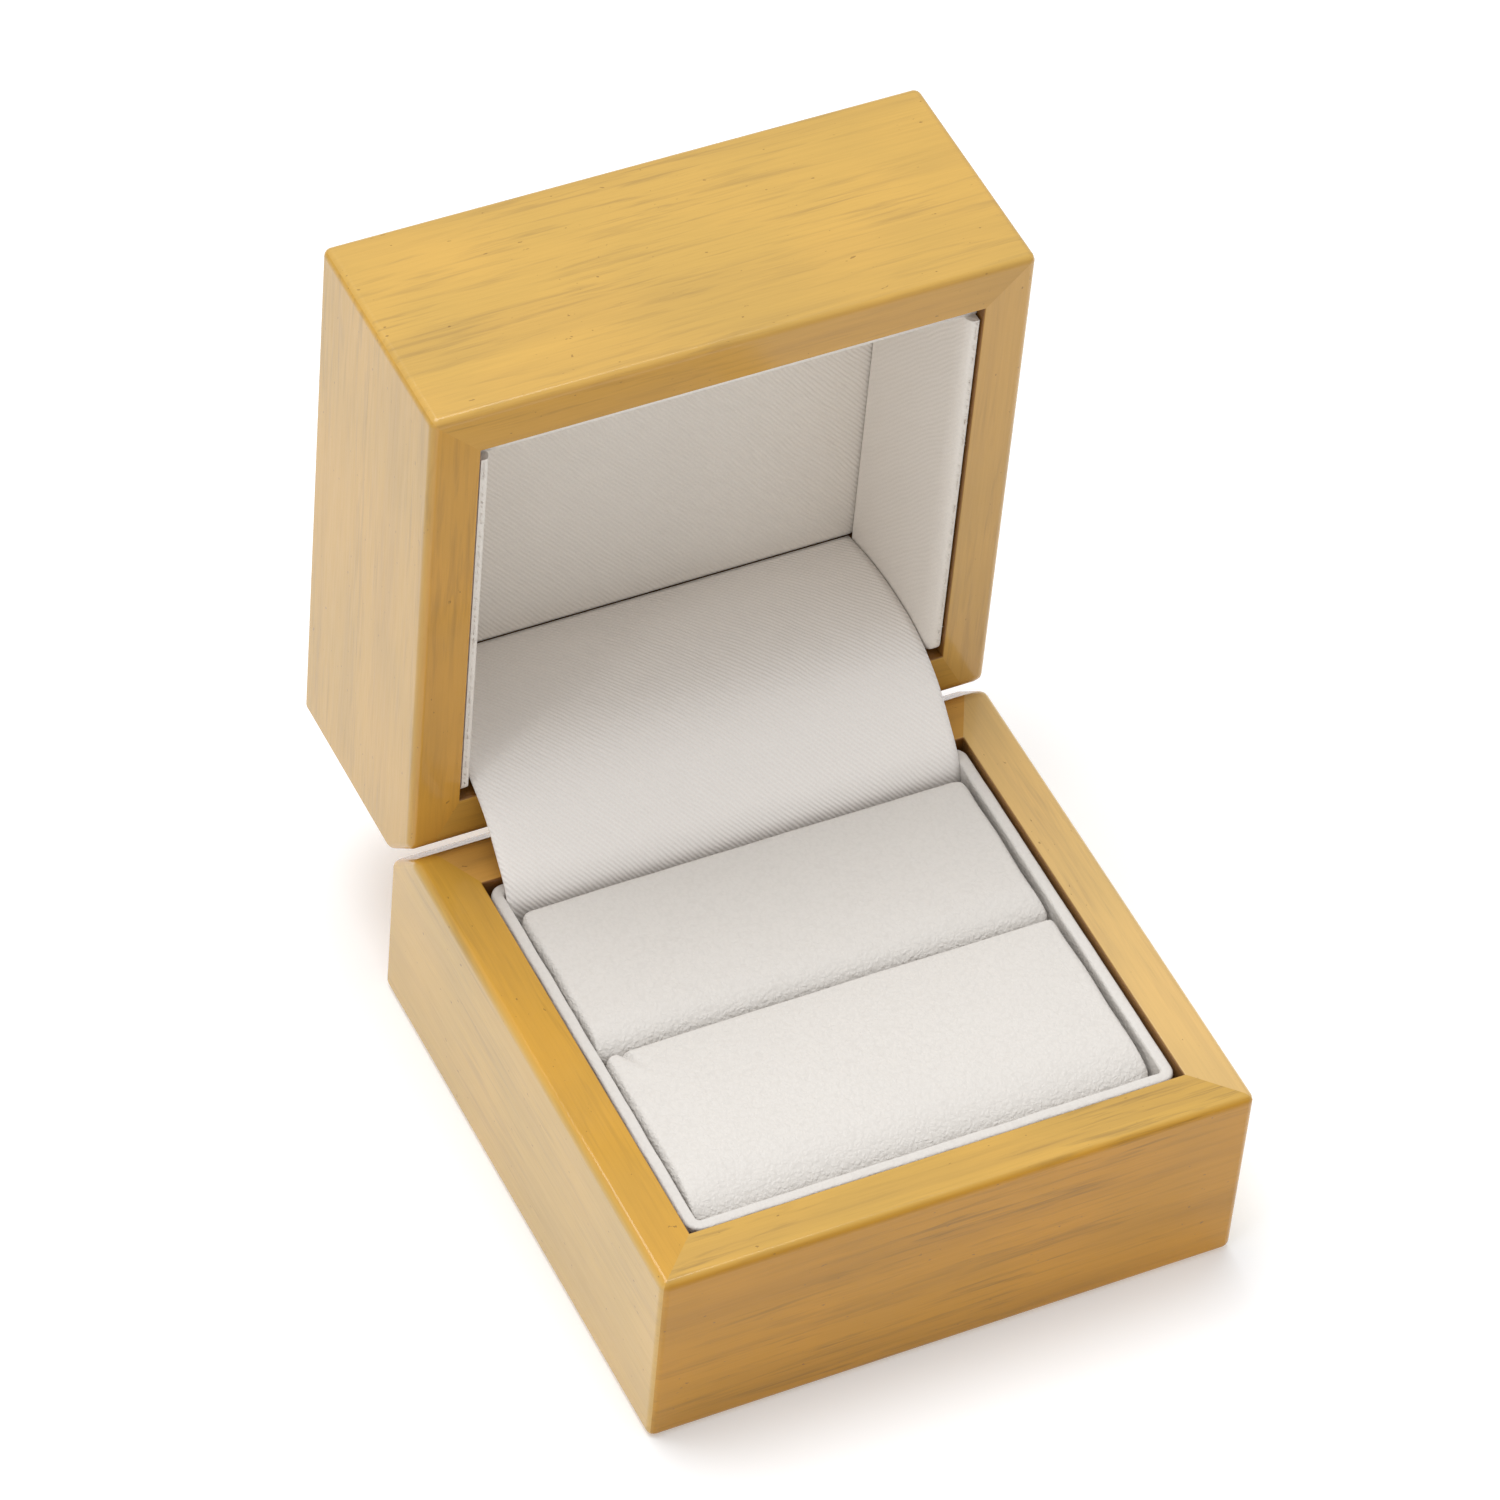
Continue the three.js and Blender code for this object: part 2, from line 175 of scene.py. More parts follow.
# ================= node helpers =================
class Nodes:
    """A short way to build a material's node tree."""

    def __init__(self, name):
        self.material = bpy.data.materials.new(name)
        self.material.use_nodes = True
        self.tree = self.material.node_tree
        self.shader = self.tree.nodes["Principled BSDF"]

    def add(self, kind, **values):
        """A new node, with its settings and inputs set by name."""
        node = self.tree.nodes.new("ShaderNode" + kind)
        for key, value in values.items():
            if hasattr(node, key) and key not in node.inputs:
                setattr(node, key, value)
            else:
                node.inputs[key].default_value = value
        return node

    def link(self, source, target):
        self.tree.links.new(source, target)
        return self

    def place(self, stretch=(1, 1, 1), shift=(0, 0, 0), turn=(0, 0, 0), uv=False):
        """The piece's own coordinates in millimetres, turned, stretched and shifted."""
        source = self.add("TexCoord")
        mapping = self.add("Mapping")
        scale = 1.0 if uv else 1000.0
        mapping.inputs["Scale"].default_value = [scale * s for s in stretch]
        mapping.inputs["Location"].default_value = shift
        mapping.inputs["Rotation"].default_value = [math.radians(t) for t in turn]
        self.link(source.outputs["UV" if uv else "Object"], mapping.inputs["Vector"])
        return mapping.outputs["Vector"]

    def noise(self, vector, scale, detail=3.0, rough=0.55, distortion=0.0):
        node = self.add("TexNoise", Scale=scale, Detail=detail, Roughness=rough, Distortion=distortion)
        self.link(vector, node.inputs["Vector"])
        return node.outputs["Fac"]

    def ramp(self, value, *stops):
        """stops are (position, colour or grey)."""
        node = self.add("ValToRGB")
        ramp = node.color_ramp
        while len(ramp.elements) < len(stops):
            ramp.elements.new(0.5)
        for element, (position, colour) in zip(ramp.elements, stops):
            element.position = position
            grey = not hasattr(colour, "__len__")
            element.color = (colour, colour, colour, 1) if grey else (*colour, 1)
        self.link(value, node.inputs["Fac"])
        return node.outputs["Color"]

    def mix(self, factor, a, b, blend="MIX"):
        """Mixes two colours: a Mix node has these as its inputs 6 and 7, and its output 2."""
        node = self.add("Mix", data_type="RGBA", blend_type=blend)
        for socket, value in ((0, factor), (6, a), (7, b)):
            if hasattr(value, "is_output"):
                self.link(value, node.inputs[socket])
            elif hasattr(value, "__len__"):
                node.inputs[socket].default_value = (*value, 1)
            else:
                node.inputs[socket].default_value = value
        return node.outputs[2]

    def math(self, operation, a, b=0.0):
        node = self.add("Math", operation=operation)
        for socket, value in enumerate((a, b)):
            if hasattr(value, "is_output"):
                self.link(value, node.inputs[socket])
            else:
                node.inputs[socket].default_value = value
        return node.outputs[0]

    def bump(self, height, distance, strength=1.0, after=None):
        node = self.add("Bump", Strength=strength, Distance=distance)
        self.link(height, node.inputs["Height"])
        if after is not None:
            self.link(after, node.inputs["Normal"])
        return node.outputs["Normal"]


def srgb(r, g, b):
    """A colour given as 0 to 255, as linear values."""
    return tuple(((c / 255 + 0.055) / 1.055) ** 2.4 if c > 10 else c / 255 / 12.92 for c in (r, g, b))


# ================= materials =================
# The flap and the linings are one cloth; the linings' tone is darker as painted shade for the inside of the
# lid.
FLAP_TONE = srgb(250, 244, 239)
SHADED_LINING_TONE = srgb(237, 230, 221)
LEATHERETTE_TONE = srgb(215, 211, 206)
VALLEY_SHADE_TONE = srgb(180, 175, 169)
GRAIN_AXES = {"X": 0, "Y": 1, "Z": 2}

# What each figure in the wood multiplies its tone by.
CLOUD_SHADE = (0.92, 0.94, 0.96)
BAND_SHADE = (0.72, 0.72, 0.86)
DASH_SHADE = (0.64, 0.65, 0.82)
FIBRE_SHADE = (0.8, 0.8, 0.8)
# Painted shade: the boards' inner faces are multiplied by this dark brown, for the shade in the gaps round
# the tray.
PAINTED_INNER_SHADE = (0.4, 0.3, 0.24)
PORE_TONE = srgb(110, 78, 42)

# Each board's tone on its rim and on its outer face, and how strongly it is streaked. The tones are partly
# the wood's own and partly painted light and shade: each face is made lighter or darker as the light falls
# on it.
BOARDS = {
    "base_front": ((210, 166, 80), (193, 134, 6), 1.1),
    "base_rear": ((206, 154, 76), (208, 156, 70), 0.6),
    "base_left": ((208, 157, 60), (203, 165, 92), 0.5),
    "base_right": ((218, 180, 114), (212, 170, 86), 0.45),
    "lid_front": ((200, 151, 66), (205, 164, 83), 0.65),
    "lid_rear": ((200, 151, 66), (205, 157, 74), 0.6),
    "lid_left": ((205, 151, 62), (197, 152, 60), 0.6),
    "lid_right": ((203, 157, 80), (204, 158, 78), 0.5),
    "lid_top": ((204, 157, 76), (204, 157, 76), 0.6),
}
# Where each group of boards starts in the wood's noise.
WOOD_SEEDS = {"base": 1.0, "lid": 5.4, "lid_top": 11.6}
# The direction of each board's outer face, with the lid open.
OUTWARD = {
    "base_front": (0, -1, 0), "base_rear": (0, 1, 0), "base_left": (-1, 0, 0), "base_right": (1, 0, 0),
    "lid_front": (0, 0, 1), "lid_rear": (0, 0, -1), "lid_left": (-1, 0, 0), "lid_right": (1, 0, 0),
    "lid_top": (0, 1, 0),
}


def along_grain(axis, along, across):
    """Scales for a texture that is drawn out along one axis."""
    return [along if i == GRAIN_AXES[axis] else across for i in range(3)]


def wood_material(board, grain, seed):
    """Pale lacquered wood: soft grey-brown dashes and bands along its grain, a few pores, a tone per face
    lit or shaded as painted light, and painted shade on its inner faces.
    """
    rim_tone_as_lit, outer_tone_as_lit, strength = BOARDS[board]
    n = Nodes(f"{board}_wood")
    shift = (seed * 13.7, seed * 7.3, seed * 3.1)
    tilt = [0.0 if i == GRAIN_AXES[grain] else 3.0 for i in range(3)]

    def grained(along, across, *rest):
        return n.noise(n.place(along_grain(grain, along, across), shift, tilt), 1.0, *rest)

    bands = grained(0.01, 0.2, 3.0, 0.6, 0.5)
    clusters = grained(0.035, 0.14, 2.0, 0.5)
    dashes = grained(0.085, 1.5, 3.0, 0.6, 0.4)
    fibres = grained(0.15, 4.2, 3.0, 0.6)
    clouds = grained(0.05, 0.07, 2.0, 0.5)
    pores = grained(1.3, 2.4, 1.0, 0.4)

    facing = n.add("VectorMath", operation="DOT_PRODUCT")
    n.link(n.add("TexCoord").outputs["Normal"], facing.inputs[0])
    facing.inputs[1].default_value = OUTWARD[board]
    # Rim and outer faces take their own tones from BOARDS: painted light and shade laid over the wood's own
    # tone.
    outer = n.ramp(facing.outputs["Value"], (0.3, 0.0), (0.95, 1.0))
    # inner picks out the faces that look into the box; they are darkened there as painted shade.
    inner = n.ramp(n.math("MULTIPLY", facing.outputs["Value"], -1.0), (0.3, 0.0), (0.8, 1.0))
    lit_face_tone = n.mix(outer, srgb(*rim_tone_as_lit), srgb(*outer_tone_as_lit))

    clouded = n.mix(n.ramp(clouds, (0.38, 0.0), (0.62, 1.0)), lit_face_tone, CLOUD_SHADE, "MULTIPLY")
    banded = n.mix(n.ramp(bands, (0.47, 0.0), (0.7, 0.6 * strength)), clouded, BAND_SHADE, "MULTIPLY")
    many = n.ramp(clusters, (0.38, 0.2), (0.62, 1.0))
    dash_mask = n.math("MULTIPLY", n.ramp(dashes, (0.5, 0.0), (0.68, 0.85 * strength)), many)
    dashed = n.mix(dash_mask, banded, DASH_SHADE, "MULTIPLY")
    fine = n.mix(n.ramp(fibres, (0.4, 0.0), (0.75, 0.3)), dashed, FIBRE_SHADE, "MULTIPLY")
    pore_mask = n.ramp(pores, (0.765, 0.0), (0.8, 0.55))
    pored = n.mix(pore_mask, fine, PORE_TONE)
    n.link(n.mix(inner, pored, PAINTED_INNER_SHADE, "MULTIPLY"), n.shader.inputs["Base Color"])
    n.link(n.ramp(fibres, (0.3, 0.4), (0.7, 0.5)), n.shader.inputs["Roughness"])
    n.link(n.bump(fibres, 0.00002, 0.3), n.shader.inputs["Normal"])
    n.shader.inputs["Specular IOR Level"].default_value = 0.15
    n.shader.inputs["Coat Weight"].default_value = 0.7
    n.shader.inputs["Coat Roughness"].default_value = 0.12
    return n.material


def twill_material(name, seed, tone, rib=1.0):
    """Fine off-white twill, with ribs as strong as rib says. Its UVs are millimetres on the cloth."""
    n = Nodes(name)
    flat = n.place(uv=True)
    sway = n.add("TexNoise", Scale=0.12, Detail=2.0)
    n.link(n.place(shift=(seed, seed, 0), uv=True), sway.inputs["Vector"])
    swayed = n.add("VectorMath", operation="ADD")
    n.link(flat, swayed.inputs[0])
    n.link(sway.outputs["Color"], swayed.inputs[1])
    line = n.add("Mapping")
    line.inputs["Rotation"].default_value = (0, 0, math.radians(TWILL_ANGLE - 90))
    n.link(swayed.outputs[0], line.inputs["Vector"])
    wave_period = 2 * math.pi / 20      # of a wave texture whose scale is 1
    wave = n.add("TexWave", Scale=wave_period / TWILL_PITCH, Distortion=0.5, Detail=2.0)
    wave.inputs["Detail Scale"].default_value = 2.0
    n.link(line.outputs["Vector"], wave.inputs["Vector"])
    ribs = wave.outputs["Fac"]
    threads = n.noise(flat, 4.5, 3.0, 0.7)
    dark = tuple(0.91 * c for c in tone)
    woven = n.mix(n.ramp(threads, (0.3, 0.0), (0.7, 1.0)), dark, tone)
    bright = tuple(min(1.0, 1.12 * c) for c in tone)
    ribbed = n.mix(n.math("MULTIPLY", ribs, 0.25 * rib), woven, bright)
    n.link(ribbed, n.shader.inputs["Base Color"])
    raised = n.bump(ribs, 0.00006, 0.7 * rib)
    n.link(n.bump(threads, 0.00004, 0.5, raised), n.shader.inputs["Normal"])
    n.shader.inputs["Roughness"].default_value = 0.6
    n.shader.inputs["Sheen Weight"].default_value = 0.2
    n.shader.inputs["Sheen Roughness"].default_value = 0.4
    return n.material


def leatherette_material(name, seed, grain):
    """White leatherette with a fine pebbled grain, stretched flatter on top, darker in the pebbles' hollows
    as painted shade; grain is its strength.
    """
    n = Nodes(name)
    here = n.place(shift=(seed, seed * 2, seed * 3))
    wander = n.add("TexNoise", Scale=1.3, Detail=2.0)
    n.link(here, wander.inputs["Vector"])
    warp = n.add("VectorMath", operation="ADD")
    n.link(here, warp.inputs[0])
    n.link(wander.outputs["Color"], warp.inputs[1])
    pebbles = n.add("TexVoronoi", feature="SMOOTH_F1", Scale=2.3, Smoothness=0.4)
    n.link(warp.outputs["Vector"], pebbles.inputs["Vector"])
    wrinkles = n.noise(n.place((0.7, 1.3, 1.3), (seed, 0, 0)), 1.0, 4.0, 0.6, 0.5)
    tilt = n.add("SeparateXYZ")
    n.link(n.add("TexCoord").outputs["Normal"], tilt.inputs[0])
    stretched = n.ramp(tilt.outputs["Z"], (0.8, 1.0), (0.985, 0.35))
    # Painted shade: the hollows between the pebbles are coloured darker.
    valley_shade = n.ramp(pebbles.outputs["Distance"], (0.35, 0.0), (0.85, 0.14))
    n.link(n.mix(valley_shade, LEATHERETTE_TONE, VALLEY_SHADE_TONE), n.shader.inputs["Base Color"])
    soft = n.bump(wrinkles, 0.00012, 0.35 * grain)
    domes = n.math("MULTIPLY", n.math("SUBTRACT", 1.0, pebbles.outputs["Distance"]), stretched)
    n.link(n.bump(domes, 0.00013, 0.9 * grain, soft), n.shader.inputs["Normal"])
    n.shader.inputs["Roughness"].default_value = 0.46
    n.shader.inputs["Specular IOR Level"].default_value = 0.35
    return n.material


def foam_material():
    """Cream foam with small open cells, darker in the cells' hollows as painted shade."""
    n = Nodes("foam")
    cells = n.add("TexVoronoi", Scale=3.0)
    n.link(n.place(), cells.inputs["Vector"])
    # Painted shade: the cells' hollows are given the darker cream.
    colour = n.ramp(cells.outputs["Distance"], (0.1, srgb(214, 204, 178)), (0.6, srgb(238, 231, 212)))
    n.link(colour, n.shader.inputs["Base Color"])
    n.link(n.bump(cells.outputs["Distance"], 0.0002, 0.6), n.shader.inputs["Normal"])
    n.shader.inputs["Roughness"].default_value = 0.95
    return n.material


def plywood_material():
    """Thin plywood, its face grain along X."""
    n = Nodes("plywood")
    fibres = n.noise(n.place((0.03, 1.4, 1.4)), 1.0, 4.0, 0.65, 0.3)
    colour = n.ramp(fibres, (0.3, srgb(168, 124, 74)), (0.7, srgb(206, 165, 108)))
    n.link(colour, n.shader.inputs["Base Color"])
    n.link(n.bump(fibres, 0.00005, 0.4), n.shader.inputs["Normal"])
    n.shader.inputs["Roughness"].default_value = 0.6
    return n.material


def metal_material(name, colour, rough):
    """Brushed metal with a little tarnish and softened edges."""
    n = Nodes(name)
    brush = n.noise(n.place((0.5, 14, 14)), 1.0, 3.0, 0.6)
    tarnish = n.noise(n.place(), 0.9, 3.0, 0.6)
    tint = n.mix(n.ramp(tarnish, (0.45, 0.0), (0.75, 0.5)), colour, tuple(0.5 * c for c in colour))
    n.link(tint, n.shader.inputs["Base Color"])
    n.link(n.ramp(brush, (0.3, rough - 0.08), (0.7, rough + 0.1)), n.shader.inputs["Roughness"])
    rounded = n.add("Bevel", samples=8, Radius=0.35 * MM)
    n.link(rounded.outputs["Normal"], n.shader.inputs["Normal"])
    n.shader.inputs["Metallic"].default_value = 1.0
    return n.material


# ================= the wooden walls =================
def carcass(z_far, z_rim):
    """Four walls as one closed ring, sharp-edged, in closed-box coordinates.

    z_rim is the parting plane and z_far the outer end, where a rebate holds the panel.
    """
    side = 1 if z_far > z_rim else -1
    panel_x = PANEL_HALF + PANEL_GAP
    panel_rear = PANEL_REAR + PANEL_GAP
    z_step = z_far - side * PANEL
    z_heel = z_rim + side * BEVEL

    def ring(x, y0, y1, z0, z1=None):
        z1 = z0 if z1 is None else z1
        return [Vector((-x, y0, z0)), Vector((x, y0, z0)), Vector((x, y1, z1)), Vector((-x, y1, z1))]

    bm = bmesh.new()
    rows = loft(bm, [
        ring(HALF, -HALF, HALF, z_far),
        ring(HALF, -HALF, HALF, z_rim, z_heel),
        ring(HALF, -HALF, HALF - BEVEL, z_rim),
        ring(INNER, -INNER, REAR_INNER, z_rim),
        ring(INNER, -INNER, REAR_INNER, z_step),
        ring(panel_x, -panel_x, panel_rear, z_step),
        ring(panel_x, -panel_x, panel_rear, z_far),
    ])
    first, last = rows[0], rows[-1]
    for i in range(4):
        j = (i + 1) % 4
        bm.faces.new((last[i], last[j], first[j], first[i]))
    bmesh.ops.remove_doubles(bm, verts=bm.verts, dist=WELD)
    bmesh.ops.dissolve_degenerate(bm, edges=bm.edges, dist=WELD)
    bmesh.ops.recalc_face_normals(bm, faces=bm.faces)
    return bm


def outer_edges(bm):
    """The ring's outer edges that turn a corner."""
    found = []
    for edge in bm.edges:
        if edge.calc_face_angle(0) < math.radians(CORNER_TURN):
            continue
        middle = (edge.verts[0].co + edge.verts[1].co) / 2
        on_side = abs(middle.x) > HALF - EDGE_ZONE or abs(middle.y) > HALF - EDGE_ZONE
        if on_side or middle.y > HALF - BEVEL - EDGE_ZONE:
            found.append(edge)
    return found


def rim_inner_edges(bm, z_rim):
    """The edges where the rim meets the walls' inner faces."""
    found = []
    for edge in bm.edges:
        at_rim = all(abs(v.co.z - z_rim) < NEAR for v in edge.verts)
        inside = all(abs(v.co.x) < INNER + NEAR and v.co.y < REAR_INNER + NEAR for v in edge.verts)
        if at_rim and inside and edge.calc_face_angle(0) > 1:
            found.append(edge)
    return found


def round_carcass(bm, z_rim):
    """Rounds the walls' outer edges and eases the rim's inner ones."""
    roundings = (
        (outer_edges(bm), EDGE_ROUND, 6),
        (rim_inner_edges(bm, z_rim), RIM_EASE, 3),
    )
    for edges, radius, segments in roundings:
        bmesh.ops.bevel(bm, geom=edges, offset=radius, segments=segments, profile=0.5, affect="EDGES",
                        clamp_overlap=True)


def cut(bm, point, normal):
    """Keeps what lies behind the plane and closes the cut."""
    weld = 0.005 * MM
    result = bmesh.ops.bisect_plane(
        bm, geom=bm.verts[:] + bm.edges[:] + bm.faces[:], dist=WELD,
        plane_co=point, plane_no=normal, clear_outer=True)
    edges = [g for g in result["geom_cut"] if isinstance(g, bmesh.types.BMEdge)]
    bmesh.ops.holes_fill(bm, edges=edges, sides=0)
    bmesh.ops.remove_doubles(bm, verts=bm.verts, dist=weld)
    bmesh.ops.dissolve_degenerate(bm, edges=bm.edges, dist=weld)


FRONT_LEFT = Vector((-INNER, -INNER, 0))
FRONT_RIGHT = Vector((INNER, -INNER, 0))
REAR_LEFT = Vector((-INNER, REAR_INNER, 0))
REAR_RIGHT = Vector((INNER, REAR_INNER, 0))
REAR_DEPTH = HALF - REAR_INNER
# Each wall is what lies behind all of its planes. The rear wall is thicker than the others, and its two
# mitre planes meet at the front wall, so a third one keeps it to the rear half.
MITRES = {
    "front": [(FRONT_LEFT, (-1, 1, 0)), (FRONT_RIGHT, (1, 1, 0))],
    "left": [(FRONT_LEFT, (1, -1, 0)), (REAR_LEFT, (REAR_DEPTH, WALL, 0))],
    "right": [(FRONT_RIGHT, (-1, -1, 0)), (REAR_RIGHT, (-REAR_DEPTH, WALL, 0))],
    "rear": [(REAR_LEFT, (-REAR_DEPTH, -WALL, 0)), (REAR_RIGHT, (REAR_DEPTH, -WALL, 0)),
             (Vector((0, 0, 0)), (0, -1, 0))],
}


def hinge_cutter(in_lid):
    """The recesses for both hinges, as one mesh, in closed-box coordinates."""
    bm = bmesh.new()
    for side in ("left", "right"):
        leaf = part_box(f"{side}_hinge_base_leaf")
        x0, x1 = leaf[0].x - HINGE_ROOM, leaf[1].x + HINGE_ROOM
        y0 = leaf[0].y - HINGE_ROOM
        screw_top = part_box(f"{side}_hinge_base_screw_1")[1].z
        deep = BASE_HEIGHT - screw_top + LEAF_DEPTH + HINGE_ROOM
        z0, z1 = BASE_HEIGHT - deep, BASE_HEIGHT + HINGE_ROOM
        if in_lid:
            z0, z1 = BASE_HEIGHT - HINGE_ROOM, BASE_HEIGHT + deep
        box = bmesh.ops.create_cube(bm, size=1)["verts"]
        place = Matrix.Translation(((x0 + x1) / 2, (y0 + HINGE.y) / 2, (z0 + z1) / 2))
        stretch = Matrix.Diagonal((x1 - x0, HINGE.y - y0, z1 - z0, 1))
        bmesh.ops.transform(bm, matrix=place @ stretch, verts=box)
        barrel = (leaf[1].z - BASE_HEIGHT) + HINGE_ROOM
        rod = bmesh.ops.create_cone(bm, cap_ends=True, segments=32, radius1=barrel, radius2=barrel,
                                    depth=x1 - x0)["verts"]
        place = Matrix.Translation(((x0 + x1) / 2, HINGE.y, HINGE.z))
        turn = Matrix.Rotation(math.radians(90), 4, "Y")
        bmesh.ops.transform(bm, matrix=place @ turn, verts=rod)
    return add_object("hinge_cutter", bm, bpy.data.materials.new("cutter"), smooth=False)


def carve(obj, cutter):
    """Takes the cutter out of the piece, and then deletes the cutter."""
    modifier = obj.modifiers.new("carve", "BOOLEAN")
    modifier.object = cutter
    modifier.operation = "DIFFERENCE"
    modifier.solver = "EXACT"
    modifier.use_self = True
    apply_modifier(obj, modifier)
    bpy.data.objects.remove(cutter)


def wooden_walls(body):
    """The four boards of the base or the lid."""
    in_lid = body == "lid"
    z_far, z_rim = (LID_TOP, BASE_HEIGHT) if in_lid else (0.0, BASE_HEIGHT)
    along = "Z" if in_lid else "Y"
    for number, (name, planes) in enumerate(MITRES.items()):
        bm = carcass(z_far, z_rim)
        round_carcass(bm, z_rim)
        for point, normal in planes:
            cut(bm, point, normal)
        grain = "X" if name in ("front", "rear") else along
        wood = wood_material(f"{body}_{name}", grain, number + WOOD_SEEDS[body])
        obj = add_object(f"{body}_{name}_board", bm, wood)
        if name == "rear":
            carve(obj, hinge_cutter(in_lid))
        if in_lid:
            obj.data.transform(OPENED)
        weight_normals(obj)
        finish_piece(obj, body, "wood", f"{body}_{name}_wall")


def top_panel():
    """The lid's top, with a fine eased edge that shows the joint."""
    ease = 0.18 * MM
    play = 0.1 * MM
    corner = 0.2 * MM

    def ring(half, rear, radius, z):
        return rounded_rectangle(-half, half, -half, rear, radius, z, 2, 4)

    bm = bmesh.new()
    loft(bm, [
        ring(INNER - play, REAR_INNER - play, corner, LID_TOP - WALL),
        ring(INNER - play, REAR_INNER - play, corner, LID_TOP - PANEL),
        ring(PANEL_HALF, PANEL_REAR, corner, LID_TOP - PANEL),
        ring(PANEL_HALF, PANEL_REAR, corner, LID_TOP - ease),
        ring(PANEL_HALF - ease, PANEL_REAR - ease, corner / 2, LID_TOP),
    ], cap_start=True, cap_end=True)
    obj = add_object("lid_top_board", bm, wood_material("lid_top", "X", WOOD_SEEDS["lid_top"]))
    obj.data.transform(OPENED)
    weight_normals(obj)
    finish_piece(obj, "lid", "wood", "lid_top_panel")


# ================= the insert =================
def tray():
    """The covered card tray: a rim all round with turned-over edges, and a floor."""
    lo, hi = TRAY
    least_corner = 0.5 * MM
    uneven_below_rim = 3 * MM
    uneven = 0.06 * MM
    steps = 5
    profile = [(0.0, lo.z), (0.0, hi.z - TRAY_EDGE)]
    for k in range(1, steps + 1):
        a = math.pi / 2 * k / steps
        profile.append((TRAY_EDGE * (1 - math.cos(a)), hi.z - TRAY_EDGE + TRAY_EDGE * math.sin(a)))
    for k in range(1, steps + 1):
        a = math.pi / 2 * k / steps
        inset = TRAY_WALL - TRAY_EDGE + TRAY_EDGE * math.sin(a)
        profile.append((inset, hi.z - TRAY_EDGE + TRAY_EDGE * math.cos(a)))
    profile.append((TRAY_WALL, lo.z + TRAY_WALL))
    rings = []
    for inset, z in profile:
        corner = max(TRAY_CORNER - inset, least_corner)
        sides = (lo.x + inset, hi.x - inset, lo.y + inset, hi.y - inset)
        rings.append(rounded_rectangle(*sides, corner, z, straight=40))
    bm = bmesh.new()
    loft(bm, rings, cap_start=True, cap_end=True)
    for v in bm.verts:
        if v.co.z > hi.z - uneven_below_rim:
            v.co += uneven * noise.noise_vector(v.co * 260)
    obj = add_object("tray", bm, leatherette_material("tray_leatherette", 3.0, 0.6))
    weight_normals(obj, 50)
    finish_piece(obj, "base", "leatherette", "insert_tray")


def spread(count, dense):
    """Shares from 0 to 1, closer together at both ends where dense is above 1."""
    shares = []
    for k in range(count + 1):
        t = 2 * k / count - 1
        shares.append(0.5 + 0.5 * math.copysign(1 - (1 - abs(t)) ** dense, t))
    return shares


def edge_fall(distance, width, depth):
    """How far a rounded edge has fallen at a distance in from it."""
    if distance >= width:
        return 0.0
    return depth * (1 - math.sqrt(max(0.0, 1 - ((width - distance) / width) ** 2)))


# How the pads' covers are blown up as cloth.
PUFF_SCALE = 20.0              # the solver is poor at millimetres
PUFF_HELD_BELOW = 2.2 * MM     # how far below the top the cover is held
PUFF_PRESSURE = 3.0
PUFF_FRAMES = 10
PUFF_ASIDE = 0.08 * MM         # the most that is kept of the movement to the sides
PUFF_UP = 0.3 * MM             # the most that is kept of the movement upward

PAD_LOW = 0.2 * MM             # how far below its full height a pad starts
PAD_SLACK = 0.16 * MM          # how far its ends sag
PAD_RUMPLE = 0.07 * MM         # how uneven its top is
PAD_CORNERS = {"outer": 1.7 * MM, "slot": 1.0 * MM}
SIDE_WANDER = 0.34 * MM        # how far its side edges are drawn in at most
END_WANDER = 0.22 * MM         # and its front and rear edges
# The crease in the front pad, at the slot's left end.
CREASE_FROM_CORNER = 1.9 * MM
CREASE_DEPTH = 0.8 * MM
CREASE_WIDTH = 0.35 * MM
CREASE_LENGTH = 1.8 * MM

# How each pad's top falls at its edges: the width and depth of the fall, in millimetres.
PAD_EDGES = {
    "front": {"front": (6.8, 3.0), "rear": (0.5, 0.55), "side": (0.9, 0.95)},
    "rear": {"front": (4.6, 2.2), "rear": (1.1, 0.9), "side": (0.9, 0.95)},
}


def pad_plan(x, y, lo, hi, radius):
    """Moves a point of the rectangle's corner squares onto rounded corners."""
    cx = (hi.x - radius) if x > 0 else (lo.x + radius)
    middle = (lo.y + hi.y) / 2
    cy = (hi.y - radius) if y > middle else (lo.y + radius)
    a, b = (x - cx) / radius, (y - cy) / radius
    outside_x = a > 0 if x > 0 else a < 0
    outside_y = b > 0 if y > middle else b < 0
    if not (outside_x and outside_y):
        return x, y
    return (cx + radius * a * math.sqrt(max(0.0, 1 - b * b / 2)),
            cy + radius * b * math.sqrt(max(0.0, 1 - a * a / 2)))


def wander(x, y, lo, hi):
    """Draws a pad's edges in a little and unevenly, as hand-wrapped foam has them."""
    middle, half = (lo.y + hi.y) / 2, (hi.y - lo.y) / 2
    across, along = x / hi.x, (y - middle) / half
    side = 0.5 + 0.5 * noise.noise(Vector((y * 150, math.copysign(7.0, x), 1.0)))
    end = 0.5 + 0.5 * noise.noise(Vector((x * 110, math.copysign(3.0, along), 2.0)))
    x -= math.copysign(SIDE_WANDER * side * abs(across) ** 8, x)
    y -= math.copysign(END_WANDER * end * abs(along) ** 8, along)
    return x, y


def pinch(x, y, lo, hi):
    """The small crease where the front pad's leatherette is folded at the slot's left end."""
    off_line = (x - lo.x - CREASE_FROM_CORNER - 0.5 * (hi.y - y)) / CREASE_WIDTH
    from_slot = (hi.y - y) / CREASE_LENGTH
    return CREASE_DEPTH * math.exp(-off_line ** 2 - from_slot ** 2)


